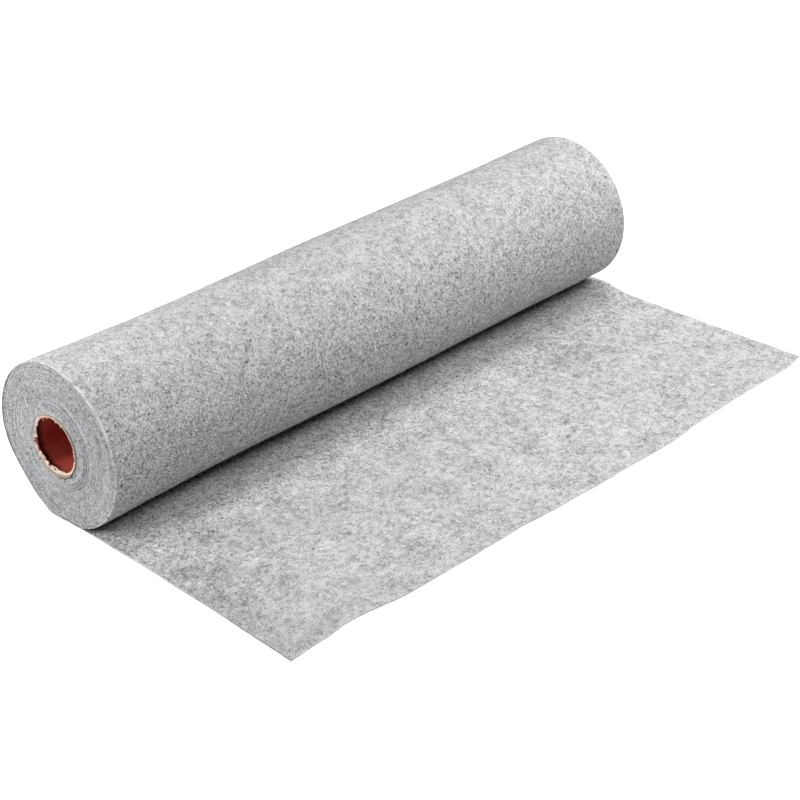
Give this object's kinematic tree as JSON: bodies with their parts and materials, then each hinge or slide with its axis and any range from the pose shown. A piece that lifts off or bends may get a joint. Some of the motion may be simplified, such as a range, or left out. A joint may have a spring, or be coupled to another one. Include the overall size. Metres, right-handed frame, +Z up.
{
  "type": "roll of felt",
  "caption": "Roll of grey heather needle felt wound on a paper core tube, lying on its own flat loose end.",
  "frame": {"origin": "on the floor, at the middle of the whole part's box", "axes": "+X along the roll's axis, from the end where the core stands out to the other end; +Z up; the loose end runs out towards -Y"},
  "size_m": [1.022, 0.57, 0.2275],
  "materials": {
    "felt": "matte heather of light and dark grey fibres",
    "core_paper": "matt red-brown board with pale torn ends"
  },
  "bodies": {
    "root": {"felt_roll": "felt", "felt_loose_end": "felt", "core_tube": "core_paper"}
  },
  "joints": []
}
